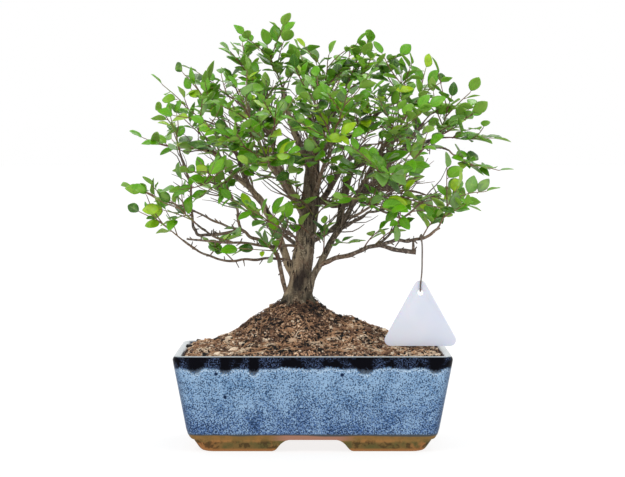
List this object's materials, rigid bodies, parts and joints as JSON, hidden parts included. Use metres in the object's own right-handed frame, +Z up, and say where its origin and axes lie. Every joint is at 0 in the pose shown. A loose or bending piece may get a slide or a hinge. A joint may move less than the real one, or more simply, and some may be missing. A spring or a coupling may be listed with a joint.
{
  "type": "bird plum bonsai",
  "caption": "Small-leaved bonsai tree with a stout trunk and a domed crown of leafy sprays, in a low rectangular glazed pot with feet and drain holes, with a blank hang tag.",
  "frame": {"origin": "on the surface that the pot stands on, under the middle of the whole object", "axes": "+Z up, -Y towards the pot's long front face, +X to the viewer's right"},
  "size_m": [0.2824, 0.2007, 0.3139],
  "materials": {
    "pot": "gloss",
    "soil": "matte",
    "screen": "matte",
    "wood": "matte",
    "tag": "satin",
    "wire": "satin",
    "leaf": "satin"
  },
  "bodies": {
    "root": {"pot": "pot", "soil": "soil", "drain_screen_left": "screen", "drain_screen_right": "screen", "trunk": "wood", "tag": "tag", "tag_wire": "wire", "spray_01": "leaf", "spray_02": "leaf", "spray_03": "leaf", "spray_04": "leaf", "spray_05": "leaf", "spray_06": "leaf", "spray_07": "leaf", "spray_08": "leaf", "spray_09": "leaf", "spray_10": "leaf", "spray_11": "leaf", "spray_12": "leaf", "spray_13": "leaf", "spray_14": "leaf", "spray_15": "leaf", "spray_16": "leaf", "spray_17": "leaf", "spray_18": "leaf", "spray_19": "leaf", "spray_20": "leaf", "spray_21": "leaf", "spray_22": "leaf", "spray_23": "leaf", "spray_24": "leaf", "spray_25": "leaf", "spray_26": "leaf", "spray_27": "leaf", "spray_28": "leaf", "spray_29": "leaf", "spray_30": "leaf", "spray_31": "leaf", "spray_32": "leaf", "spray_33": "leaf", "spray_34": "leaf", "spray_35": "leaf", "spray_36": "leaf", "spray_37": "leaf", "spray_38": "leaf", "spray_39": "leaf", "spray_40": "leaf", "spray_41": "leaf", "spray_42": "leaf", "spray_43": "leaf", "spray_44": "leaf", "spray_45": "leaf", "spray_46": "leaf", "spray_47": "leaf", "spray_48": "leaf", "inner_spray_1": "leaf", "inner_spray_2": "leaf", "inner_spray_3": "leaf", "inner_spray_4": "leaf", "inner_spray_5": "leaf"}
  },
  "joints": []
}
